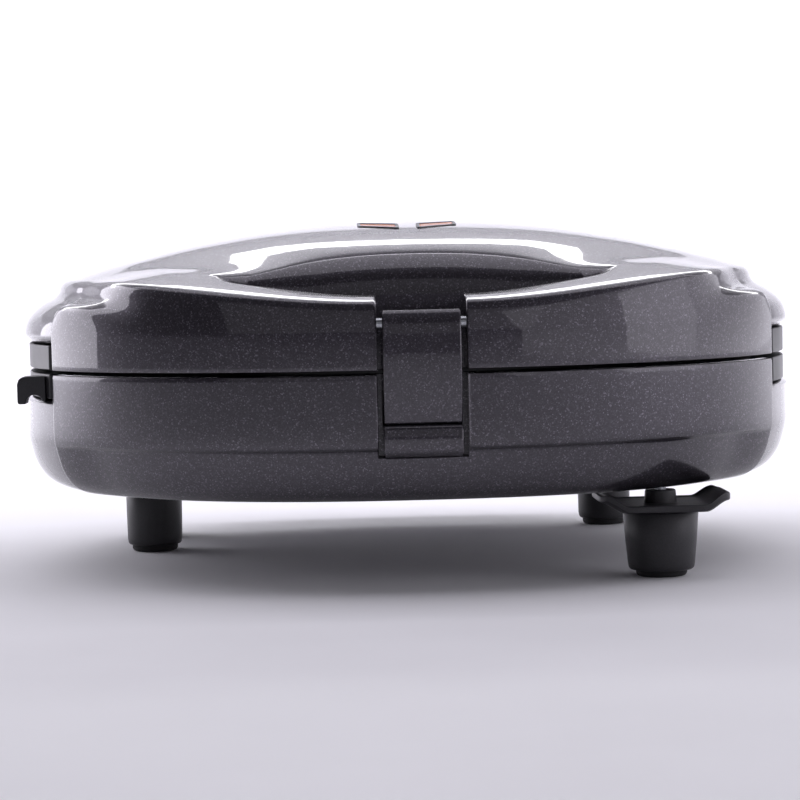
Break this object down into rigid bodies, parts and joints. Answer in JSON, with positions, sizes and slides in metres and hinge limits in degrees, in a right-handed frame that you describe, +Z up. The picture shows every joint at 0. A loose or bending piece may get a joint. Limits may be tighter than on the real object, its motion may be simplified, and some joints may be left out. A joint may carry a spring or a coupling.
{
  "type": "donut maker",
  "caption": "Round clamshell mini donut maker with a front latch, a finger slot behind the grip, ring-cup baking plates and short feet.",
  "frame": {"origin": "on the worktop, under the middle of the whole object's box", "axes": "+Z up, -Y towards the cook (the latch side), +X to the cook's right"},
  "size_m": [0.2268, 0.2352, 0.1],
  "materials": {
    "shell_gloss": "gloss, fine metallic fleck",
    "frame_plastic": "satin",
    "plate_coating": "non-stick coating on cast aluminium",
    "heater_tube": "drawn, oxide darkened",
    "shield_sheet": "rolled sheet",
    "steel": "zinc plated",
    "satin_plastic": "fine spark texture",
    "rubber": "matte",
    "amber_lens": "clear moulded, amber",
    "board": "paper laminate",
    "lamp_glass": "clear",
    "ceramic": "matte"
  },
  "bodies": {
    "base": {"base_shell": "shell_gloss", "base_rim_frame": "frame_plastic", "base_plate": "plate_coating", "base_heater": "heater_tube", "base_heat_shield": "shield_sheet", "base_plate_screw_1": "steel", "base_plate_screw_2": "steel", "base_plate_screw_3": "steel", "thermal_fuse": "steel", "terminal_block": "ceramic", "latch_catch": "shell_gloss", "hinge_pin_left": "steel", "hinge_pin_right": "steel", "front_right_foot": "satin_plastic", "front_right_pad": "rubber", "front_right_foot_screw": "steel", "rear_right_foot": "satin_plastic", "rear_right_pad": "rubber", "rear_right_foot_screw": "steel", "mid_left_foot": "satin_plastic", "mid_left_pad": "rubber", "mid_left_foot_screw": "steel", "rear_left_foot": "satin_plastic", "rear_left_pad": "rubber", "rear_left_foot_screw": "steel", "cord_guide": "satin_plastic", "cord_clip": "satin_plastic", "cord_bush": "rubber"},
    "lid": {"lid_shell": "shell_gloss", "lid_rim_frame": "frame_plastic", "lid_plate": "plate_coating", "lid_heater": "heater_tube", "lid_heat_shield": "shield_sheet", "lid_plate_screw_1": "steel", "lid_plate_screw_2": "steel", "lid_plate_screw_3": "steel", "power_lens": "amber_lens", "ready_lens": "amber_lens", "lamp_board": "board", "power_lamp": "lamp_glass", "ready_lamp": "lamp_glass", "thermostat": "ceramic", "latch_pin": "steel", "latch_spring": "steel"},
    "latch": {"latch_lever": "shell_gloss"}
  },
  "joints": [
    {"name": "lid_hinge", "type": "hinge", "parent": "base", "child": "lid", "pos_m": [0, 0.1126, 0.0588], "axis": [-1, 0, 0], "range_deg": [0, 100]},
    {"name": "latch_pivot", "type": "hinge", "parent": "lid", "child": "latch", "pos_m": [0, -0.1124, 0.0716], "axis": [-1, 0, 0], "range_deg": [0, 25]}
  ]
}
